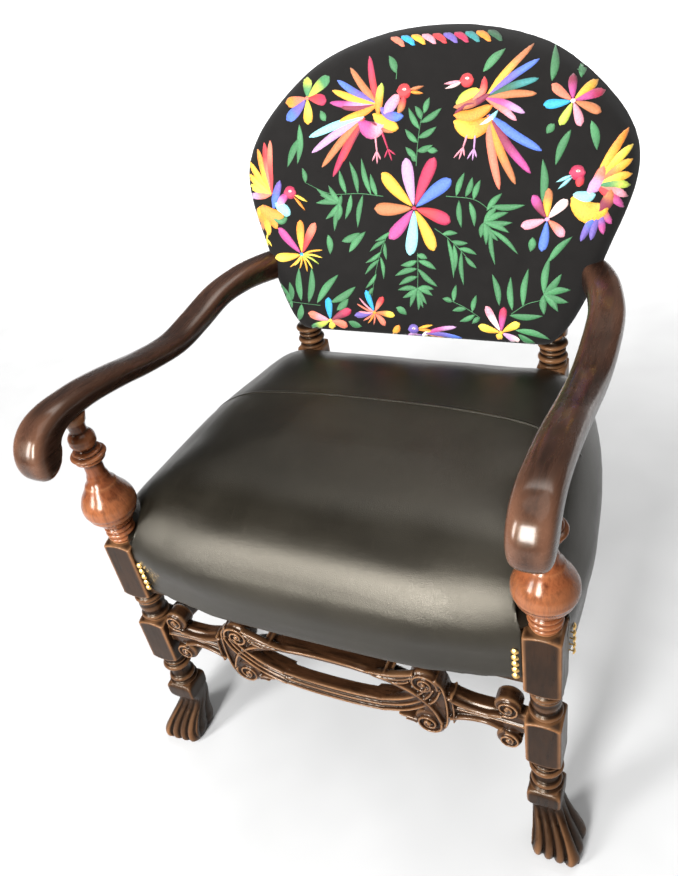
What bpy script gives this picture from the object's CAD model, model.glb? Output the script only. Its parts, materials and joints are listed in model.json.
"""Looks of the carved open armchair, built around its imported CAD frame."""
import json
import math

import bpy
import numpy as np
from mathutils import Matrix, Vector, noise
from mathutils.bvhtree import BVHTree


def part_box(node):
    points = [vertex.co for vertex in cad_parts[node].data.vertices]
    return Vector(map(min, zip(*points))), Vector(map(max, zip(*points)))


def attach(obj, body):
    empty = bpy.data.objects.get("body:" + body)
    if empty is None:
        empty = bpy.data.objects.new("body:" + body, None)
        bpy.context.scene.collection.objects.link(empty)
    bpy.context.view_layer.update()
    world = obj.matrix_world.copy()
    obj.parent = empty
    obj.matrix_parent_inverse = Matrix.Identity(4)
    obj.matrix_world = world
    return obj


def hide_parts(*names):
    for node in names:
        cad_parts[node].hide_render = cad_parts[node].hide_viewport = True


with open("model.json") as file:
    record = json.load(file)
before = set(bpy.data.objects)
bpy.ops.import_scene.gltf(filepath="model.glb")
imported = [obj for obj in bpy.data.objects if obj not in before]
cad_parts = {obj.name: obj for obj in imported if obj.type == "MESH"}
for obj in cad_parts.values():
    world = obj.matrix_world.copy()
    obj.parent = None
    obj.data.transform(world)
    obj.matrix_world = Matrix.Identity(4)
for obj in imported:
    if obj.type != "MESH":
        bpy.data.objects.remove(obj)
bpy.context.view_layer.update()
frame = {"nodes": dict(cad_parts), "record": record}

MM = 0.001
post_low, post_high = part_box("front_post_right")
POST_LINE = (post_low.y + post_high.y) / 2 / MM
POST_X = (post_low.x + post_high.x) / 2 / MM
rear_low, rear_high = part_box("rear_leg_right")
REAR_X = (rear_low.x + rear_high.x) / 2 / MM
# the rear legs' axis above the knee
REAR_Y = 482
SIDES = (("left", -1), ("right", 1))


# ---- meshes ------------------------------------------------------------------
# Points are in millimetres, with y counted from the line of the front posts.

def make_object(name, points, faces, material, smooth=True):
    """A mesh object from points in millimetres."""
    mesh = bpy.data.meshes.new(name)
    placed = (np.asarray(points, float) + (0, POST_LINE, 0)) * MM
    mesh.from_pydata(placed.tolist(), [], faces)
    mesh.validate()
    mesh.polygons.foreach_set("use_smooth", [smooth] * len(mesh.polygons))
    made = bpy.data.objects.new(name, mesh)
    bpy.context.scene.collection.objects.link(made)
    mesh.materials.append(material)
    return made


def stand_in(made, slot, *nodes):
    """Put a piece in the place of its CAD nodes, as part of the one rigid body."""
    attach(made, "root")
    if nodes:
        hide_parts(*nodes)


def skin_faces(rings, size, first=0):
    """Faces between successive rings of the same number of points, and two end caps."""
    faces = []
    for r in range(rings - 1):
        for i in range(size):
            a = first + r * size + i
            b = first + r * size + (i + 1) % size
            faces.append((a, b, b + size, a + size))
    faces.append(tuple(first + i for i in reversed(range(size))))
    faces.append(tuple(first + (rings - 1) * size + i for i in range(size)))
    return faces


class Shape:
    """Points and faces of several solids gathered into one mesh."""

    def __init__(self):
        self.points = []
        self.faces = []

    def add(self, rings):
        self.faces += skin_faces(len(rings), len(rings[0]), len(self.points))
        for ring in rings:
            self.points.extend(ring)
        return self

    def build(self, name, material):
        return make_object(name, self.points, self.faces, material)


def squircle(angle, power):
    """A point of the unit superellipse: power 2 is round, 16 nearly square."""
    c, s = math.cos(angle), math.sin(angle)
    reach = (abs(c) ** power + abs(s) ** power) ** (-1 / power)
    return c * reach, s * reach


def between(a, b, c, d, u):
    """The Catmull-Rom curve from b to c, at a share u of the way."""
    return 0.5 * (2 * b + (c - a) * u + (2 * a - 5 * b + 4 * c - d) * u * u
                  + (3 * b - a - 3 * c + d) * u ** 3)


def smooth_line(controls, count):
    """A smooth line through the control points."""
    pts = np.asarray(controls, float)
    padded = np.vstack([2 * pts[0] - pts[1], pts, 2 * pts[-1] - pts[-2]])
    line = []
    spans = len(pts) - 1
    for k in range(count):
        t = k / (count - 1) * spans
        i = min(int(t), spans - 1)
        line.append(between(*padded[i:i + 4], t - i))
    return np.array(line)


def sweep(shape, stations, power=2.6, segments=32, up=(0, 0, 1)):
    """A bar along stations of (x, y, z, width, height), square to its run."""
    rows = np.asarray(stations, float)
    up = np.asarray(up, float)
    rings = []
    for i, row in enumerate(rows):
        along = rows[min(i + 1, len(rows) - 1), :3] - rows[max(i - 1, 0), :3]
        along /= np.linalg.norm(along)
        across = np.cross(up, along)
        across /= np.linalg.norm(across)
        over = np.cross(along, across)
        ring = []
        for k in range(segments):
            c, s = squircle(2 * math.pi * k / segments, power)
            ring.append(row[:3] + across * c * row[3] / 2 + over * s * row[4] / 2)
        rings.append(ring)
    return shape.add(rings)


def arc_samples(start, end, bulge, count):
    """Points from start to end along an arc that stands out by bulge."""
    (r0, z0), (r1, z1) = start, end
    for k in range(count):
        t = k / count
        rise = bulge * 4 * t * (1 - t)
        length = math.hypot(r1 - r0, z1 - z0) or 1
        yield (r0 + (r1 - r0) * t + rise * (z1 - z0) / length,
               z0 + (z1 - z0) * t - rise * (r1 - r0) / length)


def turned(shape, centre, profile, segments=64):
    """Turn a profile of (radius, level, bulge) about an upright axis."""
    outline = []
    for here, after in zip(profile, profile[1:]):
        outline += arc_samples(here[:2], after[:2], here[2], 7 if here[2] else 2)
    outline.append(profile[-1][:2])
    angles = [math.tau * (k + 0.5) / segments for k in range(segments)]
    return shape.add([[(centre[0] + r * math.cos(a), centre[1] + r * math.sin(a), z)
                       for a in angles] for r, z in outline])


def modify(made, kind, **settings):
    """Apply one modifier to an object's mesh."""
    modifier = made.modifiers.new(kind, kind)
    for key, value in settings.items():
        setattr(modifier, key, value)
    graph = bpy.context.evaluated_depsgraph_get()
    mesh = bpy.data.meshes.new_from_object(made.evaluated_get(graph))
    made.modifiers.remove(modifier)
    made.data = mesh
    mesh.polygons.foreach_set("use_smooth", [True] * len(mesh.polygons))
    return made


def carve_together(made, voxel, smoothing):
    """Melt overlapping solids into one softly worn surface."""
    modify(made, "REMESH", mode="VOXEL", voxel_size=voxel * MM)
    return modify(made, "SMOOTH", factor=0.5, iterations=smoothing)


# ---- materials -----------------------------------------------------------------

class Nodes:
    """Shorthand for building one material's node tree."""

    def __init__(self, name):
        self.material = bpy.data.materials.new(name)
        self.material.use_nodes = True
        self.tree = self.material.node_tree
        self.shader = self.tree.nodes["Principled BSDF"]

    def add(self, kind, **settings):
        made = self.tree.nodes.new(kind)
        for key, value in settings.items():
            if key in made.inputs:
                made.inputs[key].default_value = value
            else:
                setattr(made, key, value)
        return made

    def link(self, source, target):
        self.tree.links.new(source, target)

    def feed(self, socket, value):
        """Give a socket a number, a colour or another node's output."""
        if isinstance(value, (int, float)):
            socket.default_value = value
        elif isinstance(value, tuple):
            socket.default_value = (*value, 1)
        else:
            self.link(value, socket)

    def coordinates(self, scale=(1, 1, 1)):
        """Object coordinates, in metres, stretched by scale."""
        place = self.add("ShaderNodeTexCoord")
        mapping = self.add("ShaderNodeMapping", Scale=scale)
        self.link(place.outputs["Object"], mapping.inputs["Vector"])
        return mapping.outputs["Vector"]

    def noise(self, vector, scale, detail=4, rough=0.55):
        made = self.add("ShaderNodeTexNoise", Scale=scale, Detail=detail, Roughness=rough)
        self.link(vector, made.inputs["Vector"])
        return made.outputs["Fac"]

    def ramp(self, source, stops):
        made = self.add("ShaderNodeValToRGB")
        ramp = made.color_ramp
        while len(ramp.elements) < len(stops):
            ramp.elements.new(0.5)
        for element, (place, colour) in zip(ramp.elements, stops):
            element.position = place
            element.color = (*colour, 1)
        self.link(source, made.inputs["Fac"])
        return made.outputs["Color"]

    def range(self, source, low, high, to_low, to_high):
        made = self.add("ShaderNodeMapRange")
        for key, value in (("From Min", low), ("From Max", high),
                           ("To Min", to_low), ("To Max", to_high)):
            made.inputs[key].default_value = value
        self.link(source, made.inputs["Value"])
        return made.outputs["Result"]

    def maths(self, operation, first, second):
        made = self.add("ShaderNodeMath", operation=operation)
        for socket, value in zip(made.inputs, (first, second)):
            self.feed(socket, value)
        return made.outputs[0]

    def mix(self, factor, first, second, blend="MIX"):
        # a mix node's colour sockets come after its plain number's and its vectors'
        made = self.add("ShaderNodeMix", data_type="RGBA", blend_type=blend)
        for key, value in ((0, factor), (6, first), (7, second)):
            self.feed(made.inputs[key], value)
        return made.outputs[2]

    def bump(self, height, strength, distance, after=None):
        made = self.add("ShaderNodeBump", Strength=strength, Distance=distance)
        self.link(height, made.inputs["Height"])
        if after:
            self.link(after, made.inputs["Normal"])
        return made.outputs["Normal"]

    def finish(self, colour, roughness, normal=None, **constants):
        self.feed(self.shader.inputs["Base Color"], colour)
        self.feed(self.shader.inputs["Roughness"], roughness)
        if normal:
            self.link(normal, self.shader.inputs["Normal"])
        for key, value in constants.items():
            self.shader.inputs[key.replace("_", " ")].default_value = value
        return self.material


def wood(name, dark, middle, worn, grain, wear=0.8, gloss=0.3, coat=0.3, handled=True):
    """Stained wood: grain along one axis; handled wood has dark hollows and rubbed ridges."""
    n = Nodes(name)
    stretch = [9.0, 9.0, 9.0]
    stretch["xyz".index(grain)] = 1.0
    streaks = n.noise(n.coordinates(stretch), 14, 6, 0.6)
    fine = n.noise(n.coordinates([s * 4 for s in stretch]), 22, 3, 0.7)
    clouds = n.noise(n.coordinates(), 17, 4, 0.6)
    figure = n.ramp(streaks, [(0.3, dark), (0.5, middle), (0.72, dark)])
    shaded = n.mix(n.range(clouds, 0.4, 0.65, 0.0, 0.6), figure, dark)
    colour = shaded
    if handled:
        rubbed = n.add("ShaderNodeVertexColor", layer_name="rubbed").outputs["Color"]
        height = n.add("ShaderNodeSeparateColor")
        n.link(rubbed, height.inputs["Color"])
        ridge = n.maths("MULTIPLY", n.range(height.outputs["Red"], 0.54, 0.8, 0.0, wear),
                        n.range(clouds, 0.3, 0.6, 0.45, 1.0))
        brighter = n.mix(ridge, shaded, worn)
        hollow = n.range(height.outputs["Red"], 0.25, 0.47, 0.85, 0.0)
        colour = n.mix(hollow, brighter, tuple(c * 0.25 for c in dark))
    roughness = n.range(streaks, 0.3, 0.75, gloss - 0.05, gloss + 0.13)
    normal = n.bump(fine, 0.2, 0.0005, n.bump(streaks, 0.12, 0.001))
    return n.finish(colour, roughness, normal, Coat_Weight=coat, Coat_Roughness=0.16,
                    Specular_IOR_Level=0.15, Specular_Tint=(1.0, 0.74, 0.5, 1))


def evened(made, values, rounds):
    """Average a value over neighbouring points, to leave only its broad swell."""
    mesh = made.data
    count = len(mesh.vertices)
    edges = np.empty(len(mesh.edges) * 2, int)
    mesh.edges.foreach_get("vertices", edges)
    a, b = edges.reshape(-1, 2).T
    degree = np.maximum(np.bincount(np.concatenate([a, b]), minlength=count), 1)
    even = values.copy()
    for _ in range(rounds):
        for axis in range(even.shape[1]):
            total = np.bincount(a, even[b, axis], count) + np.bincount(b, even[a, axis], count)
            even[:, axis] = 0.4 * even[:, axis] + 0.6 * total / degree
    return even


def rub(made, reach, rounds):
    """Mark how far each point stands out of its surroundings, as handling wears it."""
    mesh = made.data
    count = len(mesh.vertices)
    points, normals = np.empty(count * 3), np.empty(count * 3)
    mesh.vertices.foreach_get("co", points)
    mesh.vertices.foreach_get("normal", normals)
    points, normals = points.reshape(-1, 3), normals.reshape(-1, 3)
    proud = ((points - evened(made, points, rounds)) * normals).sum(axis=1, keepdims=True)
    proud = evened(made, proud / (reach * MM), 1)
    value = np.clip(0.5 + 0.5 * proud, 0, 1)
    layer = mesh.color_attributes.new("rubbed", "FLOAT_COLOR", "POINT")
    layer.data.foreach_set("color", np.hstack([value, value, value, np.ones_like(value)]).ravel())


def wooden(shape, name, material, node, reach, rounds):
    """Build a wooden piece with rubbed edges, in the place of its CAD node."""
    made = shape.build(name, material)
    rub(made, reach, rounds)
    stand_in(made, "dark_walnut", node)
    return made


def leather():
    """Smooth black leather with a fine pebbled grain and rubbed high places."""
    n = Nodes("black_leather")
    pebbles = n.add("ShaderNodeTexVoronoi", feature="DISTANCE_TO_EDGE", Scale=560)
    n.link(n.coordinates(), pebbles.inputs["Vector"])
    grain = n.range(pebbles.outputs["Distance"], 0.0, 0.25, 0.0, 1.0)
    mottle = n.noise(n.coordinates(), 9, 4)
    scuffs = n.noise(n.coordinates([30, 4, 8]), 4, 6, 0.65)
    colour = n.ramp(mottle, [(0.3, (0.004, 0.0033, 0.0022)), (0.7, (0.0085, 0.0072, 0.005))])
    worn = n.mix(n.range(scuffs, 0.6, 0.8, 0.0, 0.3), colour, (0.03, 0.025, 0.018))
    roughness = n.range(mottle, 0.3, 0.7, 0.29, 0.36)
    creases = n.noise(n.coordinates(), 140, 5, 0.6)
    normal = n.bump(grain, 0.2, 0.0004, n.bump(creases, 0.14, 0.0008))
    return n.finish(worn, roughness, normal, Specular_IOR_Level=0.32,
                    Specular_Tint=(1.0, 0.92, 0.76, 1))


def weave(name, dark, light, pitch, sheen=0.35):
    """Plain woven cloth: two crossed sets of threads, spaced by the pitch."""
    n = Nodes(name)
    place = n.coordinates()
    threads = math.pi / 10 / (pitch * MM)
    across, upward = (n.add("ShaderNodeTexWave", wave_type="BANDS", bands_direction=way,
                            Scale=threads, Distortion=0.6) for way in "XZ")
    for wave in (across, upward):
        n.link(place, wave.inputs["Vector"])
    crossed = n.maths("MULTIPLY", across.outputs["Fac"], upward.outputs["Fac"])
    lint = n.noise(place, 35, 5)
    shade = n.maths("MULTIPLY", n.range(crossed, 0, 1, 0.5, 1), n.range(lint, 0.3, 0.7, 0.6, 1))
    colour = n.mix(shade, dark, light)
    normal = n.bump(crossed, 0.35, 0.0004)
    return n.finish(colour, 0.9, normal, Sheen_Weight=sheen, Sheen_Roughness=0.5,
                    Specular_IOR_Level=0.12)


def metal(name, colour, roughness):
    """Metal with faint tarnish."""
    n = Nodes(name)
    clouds = n.noise(n.coordinates(), 180, 3)
    tone = n.mix(n.range(clouds, 0.35, 0.7, 0.0, 0.5), colour, tuple(c * 0.55 for c in colour))
    return n.finish(tone, n.range(clouds, 0.3, 0.7, roughness, roughness + 0.18), Metallic=1.0)


# Deep brown-black stain, rubbed to copper on what stands out.
DARK, BROWN, COPPER = (0.004, 0.0018, 0.001), (0.014, 0.0058, 0.0026), (0.19, 0.088, 0.038)
frame_wood = wood("dark_walnut", DARK, BROWN, COPPER, "z", wear=0.8, coat=0.06)
turned_wood = wood("dark_walnut_turned", (0.05, 0.013, 0.005), (0.15, 0.045, 0.016),
                   (0.36, 0.16, 0.07), "z", wear=0.5, gloss=0.2, coat=0.3)
arm_wood = wood("dark_walnut_arm", (0.007, 0.0032, 0.0022), (0.03, 0.013, 0.008),
                (0.13, 0.06, 0.035), "y", wear=0.6, gloss=0.25, coat=0.3)
carved_wood = wood("dark_walnut_carved", (0.007, 0.003, 0.0014), (0.028, 0.0115, 0.005),
                   (0.2, 0.1, 0.045), "x", wear=0.8, gloss=0.22, coat=0.2)
rail_wood = wood("dark_walnut_rail", DARK, BROWN, COPPER, "y", wear=0.5)


# ---- front posts -------------------------------------------------------------

# the corners' sharpness on a squared block, and the levels between which the wood is redder
SQUARE = 22
BULB_BOTTOM, BULB_TOP = 457, 700
# radius, level, and how far the profile bulges on its way to the next point
TURNING = [
    (9, 114, 0), (9, 131, 0), (20, 132, 0), (22, 134, 1), (22, 137, 0), (18, 140, 0),
    (18.5, 141, 2.5), (18.5, 149, 0), (16, 150.5, -1.5), (15.5, 166, 0), (16.5, 170, 0),
    (20.5, 171.5, 2.5), (20.5, 180, 0), (17.5, 181.5, 0), (17.5, 183, 2), (17.5, 188, 0),
    (17, 190, 0), (17.5, 201, 0), (17.5, 290, 0), (17, 294, 0), (19, 295, 2.5), (19, 303, 0),
    (17, 305, 0), (17.5, 309, 1.2), (19, 325, 0), (20, 331, 0), (19, 332, 2.5), (19, 341, 0),
    (17, 343, 0), (17.5, 349, 0), (17.5, 455, 0), (17, 459, 0), (17.5, 459.5, 2.2),
    (17.5, 465, 0), (16, 466, 0), (18.5, 467.5, 2.4), (18.5, 474, 0), (16.5, 475.5, 0),
    (18.5, 477, 2), (19, 482, 0), (17.5, 483.5, 1), (27, 497, 1.8), (35.5, 511, 0.9),
    (38, 520, 0.7), (36.2, 531, 0.5), (30, 543, -0.4), (21.5, 558, -1.2), (15, 571, -0.6),
    (13, 581, 0), (13, 594, 0), (14, 596, 0), (19, 597.5, 1.8), (19, 602, 0), (17.5, 603, 0),
    (22.5, 604, 2), (22.5, 609.5, 0), (17.5, 610.5, 0), (18, 611, 1.6), (18, 615, 0),
    (12.5, 616.5, 0), (12.5, 618.5, 0), (15.5, 621.5, 1.2), (18, 631, 1.2),
    (15, 641, 0), (11.5, 644.5, -1.5), (15, 660, 0), (18, 672, 0), (9, 674, 0), (9, 682, 0),
]


def square_block(shape, x, bottom, top, half=23, reach=9):
    """A square block whose corners are turned off where it meets the turnings."""
    corner = half * math.sqrt(2)
    levels = [bottom + reach * t for t in np.linspace(0, 1, 9)]
    levels += list(np.linspace(bottom + reach + 1, top - reach - 1, 16))
    levels += [top - reach * t for t in np.linspace(1, 0, 9)]
    rings = []
    for level in levels:
        inside = min(level - bottom, top - level, reach) / reach
        limit = half * 0.84 + (corner + 0.6 - half * 0.84) * math.sin(math.pi / 2 * inside)
        ring = []
        for k in range(112):
            angle = math.tau * (k + 0.5) / 112
            c, s = squircle(angle, SQUARE)
            r = min(half * math.hypot(c, s), limit)
            ring.append((x + r * math.cos(angle), r * math.sin(angle), level))
        rings.append(ring)
    return shape.add(rings)


for side, sign in SIDES:
    post = Shape()
    turned(post, (sign * POST_X, 0), TURNING, 72)
    square_block(post, sign * POST_X, 200, 291)
    square_block(post, sign * POST_X, 348, 456)
    made = wooden(post, f"post_{side}", frame_wood, f"front_post_{side}", 1.3, 6)
    made.data.materials.append(turned_wood)
    for face in made.data.polygons:
        if BULB_BOTTOM < face.center.z / MM < BULB_TOP:
            face.material_index = 1


# ---- carved feet -------------------------------------------------------------

# level, front, back, inner and outer faces from the post's axis, depth of the flutes
FOOT_LEVELS = [
    (0, -38, 15, -9, 45, 1.0), (3, -44, 18, -12, 50, 2.2), (9, -47, 20.5, -14, 52.5, 3.4),
    (17, -46.5, 21.5, -15, 52, 3.8), (26, -43, 22, -15, 48.5, 3.6), (36, -37.5, 22, -15.5, 43.5, 3.2),
    (46, -31, 22, -16, 38, 3.0), (56, -24, 22.5, -17, 32.5, 2.8), (66, -17, 23.5, -18.5, 27.5, 2.2),
    (76, -12.5, 24.5, -19.5, 23.5, 1.4), (84, -12.5, 24.5, -20.5, 21, 0.5),
    (91, -16.5, 24, -21.5, 21, 0), (97, -20.5, 23.3, -22.4, 22.2, 0), (103, -22.6, 23, -23, 23, 0),
    (110, -23, 23, -23, 23, 0), (124, -23, 23, -23, 23, 0), (129, -21.5, 21.5, -21.5, 21.5, 0),
    (132, -18.5, 18.5, -18.5, 18.5, 0),
]


def foot(sign, segments=200, steps=150):
    """A scroll foot whose flutes fan out from the waist down to rolled toes."""
    table = smooth_line(FOOT_LEVELS, 300)
    top = FOOT_LEVELS[-1][0]
    rings = []
    for level in np.linspace(0, top, steps):
        front, back, inner, outer, flute = (np.interp(level, table[:, 0], table[:, k])
                                            for k in range(1, 6))
        ring = []
        toe = max(0.0, 1 - level / 30)
        power = np.interp(level, (0, 20, 70, 100, 112, 124, top), (6, 7, 5, 6, 18, 18, 5))
        for k in range(segments):
            c, s = squircle(math.tau * (k + 0.5) / segments, power)
            x = (inner + outer) / 2 + (outer - inner) / 2 * c
            y = (front + back) / 2 + (back - front) / 2 * s
            across = (x - inner) / (outer - inner)
            along = (y - front) / (back - front)
            forward = max(0.0, -s) ** 2.5
            sideways = max(0.0, c) ** 2.5 * min(1, max(0.0, 1.15 - along) * 3)
            inward = max(0.0, -c) ** 3 * min(1, max(0.0, 1.0 - along) * 3)
            # the ridges lean outwards as they run down, bunched at the waist
            fan = across - 0.10 * math.sin(math.pi * min(level, 84) / 84)
            ridge_front = abs(math.sin(math.pi * (4.2 * fan + 0.1))) ** 0.6 - 0.8
            ridge_side = abs(math.sin(math.pi * (2.7 * along + 0.3))) ** 0.6 - 0.8
            y -= flute * (1.8 + toe) * ridge_front * forward - 4.0 * toe * (1 - across) * forward
            x += flute * (1.6 + toe) * ridge_side * sideways
            x -= flute * ridge_side * inward
            ring.append((sign * (POST_X + x), y, level))
        rings.append(ring if sign > 0 else ring[::-1])
    return Shape().add(rings)


for side, sign in SIDES:
    wooden(foot(sign), f"foot_{side}", frame_wood, f"front_foot_{side}", 1.4, 10)


# ---- arms ----------------------------------------------------------------------

# y, x, z of the arm's middle line, then its width and height
ARM_LINE = [
    (536, 252, 631, 36, 40), (514, 264, 636, 42, 45), (476, 279, 642, 46, 43),
    (430, 292, 647, 47, 39), (370, 303, 647, 48, 34), (300, 305, 640, 48.5, 32),
    (233, 304, 638, 48, 30), (160, 303, 651.5, 47, 30), (96, 303, 668.5, 47, 31),
    (40, 303, 681, 47, 32), (0, 303, 686, 47.5, 33.5), (-26, 303, 686.5, 48, 36),
    (-47, 303, 681.5, 48.5, 42), (-61, 303, 671.5, 48.5, 48), (-68, 303, 658.5, 48, 51),
    (-70, 303, 647, 46.5, 49), (-69, 303, 637, 43, 41), (-67, 303, 629.5, 33, 27),
    (-66, 303, 625.5, 14, 9),
]


def arm(sign, steps=150, segments=56):
    """A bowed arm, flattened on top, that droops into a rounded knuckle."""
    line = smooth_line(ARM_LINE, steps)
    rings = []
    across = np.array([1.0, 0, 0])
    for i, (y, x, z, width, height) in enumerate(line):
        before, after = line[max(i - 1, 0)], line[min(i + 1, steps - 1)]
        along = np.array([after[1] - before[1], after[0] - before[0], after[2] - before[2]])
        along /= np.linalg.norm(along)
        level = np.array([along[0], along[1], 0])
        if np.linalg.norm(level) > 0.3:
            across = np.cross((0, 0, 1), level / np.linalg.norm(level))
        over = np.cross(along, across)
        power = np.interp(i / steps, (0, 0.55, 0.75, 1), (3.2, 2.7, 3.4, 2.5))
        ring = []
        for k in range(segments):
            c, s = squircle(2 * math.pi * k / segments, power)
            point = np.array([x, y, z]) + across * c * width / 2 + over * s * height / 2
            ring.append((sign * point[0], point[1], point[2]))
        rings.append(ring if sign > 0 else ring[::-1])
    return Shape().add(rings)


for side, sign in SIDES:
    wooden(arm(sign), f"arm_{side}_wood", arm_wood, f"arm_{side}", 2.5, 12)


# ---- rear legs and stretchers ----------------------------------------------------

# radius, level and bulge of the turned rings between seat and back
LEG_RINGS = [(14, 494, 0), (19, 495.5, 2.5), (19, 503, 0), (16.5, 505, 0), (20, 507, 3),
             (20, 516, 0), (16.5, 518, 0), (18, 520, 2), (18, 526, 0), (16, 528, 0),
             (20, 530, 3), (20, 538, 0), (15, 541, 0), (15, 548, 0)]

# level, width and height of the straight rails low between the legs
RAIL = (246, 22, 34)


def leg_axis(level):
    """How far back a rear leg's axis is: below its knee the leg rakes out."""
    return REAR_Y + 42 * max(0, 1 - level / 200) ** 1.5


def rail(node, start, end, material):
    """A straight rail between two places (x, y), with rubbed edges."""
    bar = sweep(Shape(), np.linspace((*start, *RAIL), (*end, *RAIL), 40), 7, 40)
    wooden(bar, f"{node}_wood", material, node, 1.3, 4)


for side, sign in SIDES:
    leg = Shape()
    x = sign * REAR_X
    sweep(leg, [(x, leg_axis(z), z, 44 if z > 150 else 43, 43) for z in np.linspace(0, 496, 60)],
          10, 48, (0, 1, 0))
    turned(leg, (x, REAR_Y), LEG_RINGS)
    # the stile goes on up inside the back, leaning with it
    sweep(leg, np.linspace((x, REAR_Y + 14, 540, 36, 26), (x, REAR_Y + 130, 866, 36, 26), 12),
          8, 32, (0, 1, 0))
    # the raked end is sawn level with the floor
    leg.points = [(px, py, max(pz, 0.0)) for px, py, pz in leg.points]
    wooden(leg, f"rear_leg_{side}_wood", frame_wood, f"rear_leg_{side}", 1.3, 6)
    rail(f"side_stretcher_{side}", (sign * POST_X, 21), (x, REAR_Y - 21), rail_wood)

low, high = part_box("rear_stretcher")
bar_y = (low.y + high.y) / 2 / MM - POST_LINE
rail("rear_stretcher", (21 - REAR_X, bar_y), (REAR_X - 21, bar_y), carved_wood)


# ---- carved front stretcher ----------------------------------------------------

CARVING_FRONT, CARVING_REAR = -18.5, 10.5
LOWER_ARC_REAR = 4
# the lower arc's three reeds, from the arc's flank up into the volute
REEDS = [
    [(77, 223), (110, 235), (135, 252), (156, 273), (166, 296)],
    [(77, 235), (107, 246), (129, 260), (147, 278), (157, 297)],
    [(77, 246.5), (103, 256.5), (122, 268), (138, 283), (148, 298)],
]
# how much lower the reeds run in the middle of the arc
REED_DROP = 5.2


def band(shape, line, widths, front=CARVING_FRONT, rear=CARVING_REAR, power=3):
    """A rounded bar along a line of (x, z) in the carving's plane."""
    points = smooth_line([(x, z, w) for (x, z), w in zip(line, widths)], 14 * len(line))
    middle, depth = (front + rear) / 2, rear - front
    return sweep(shape, [(x, middle, z, w, depth) for x, z, w in points], power, 20, (0, 1, 0))


def spiral(centre, start_angle, radius, inner, turns, clockwise, width):
    """Points and widths of a scroll that winds in to its eye."""
    points, widths = [], []
    count = int(14 * turns)
    for k in range(count + 1):
        t = k / count
        angle = math.radians(start_angle) + (-1 if clockwise else 1) * math.tau * turns * t
        r = radius + (inner - radius) * t ** 0.9
        points.append((centre[0] + r * math.cos(angle), centre[1] + r * math.sin(angle)))
        widths.append(width * (1 - 0.3 * t))
    return points, widths


def roll(shape, centre, radius, front, rear, ease=3.0):
    """A round roll across the carving's thickness, with eased rims."""
    rings = []
    middle = (front + rear) / 2
    for y, draw in ((front, ease), (front + 0.8, 1.4), (front + ease, 0), (middle, 0),
                    (rear - ease, 0), (rear - 0.8, 1.4), (rear, ease)):
        r = max(radius - draw, 0.6)
        rings.append([(centre[0] + r * math.cos(math.tau * k / 40), y,
                       centre[1] + r * math.sin(math.tau * k / 40)) for k in range(40)])
    return shape.add(rings)


def volute(shape, centre, radius, start, turns, clockwise, ridge=5.2, forward=0.0):
    """A roll with a raised spiral on its front that winds in to an eye."""
    roll(shape, centre, radius - 0.5, CARVING_FRONT + 4.5, CARVING_REAR)
    points, widths = spiral(centre, start, radius - ridge / 2, 4.2, turns, clockwise, ridge)
    band(shape, points, widths, CARVING_FRONT - forward, 0, 2.4)
    roll(shape, centre, 3.6, CARVING_FRONT - 0.5 - forward, 0, 1.6)


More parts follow.
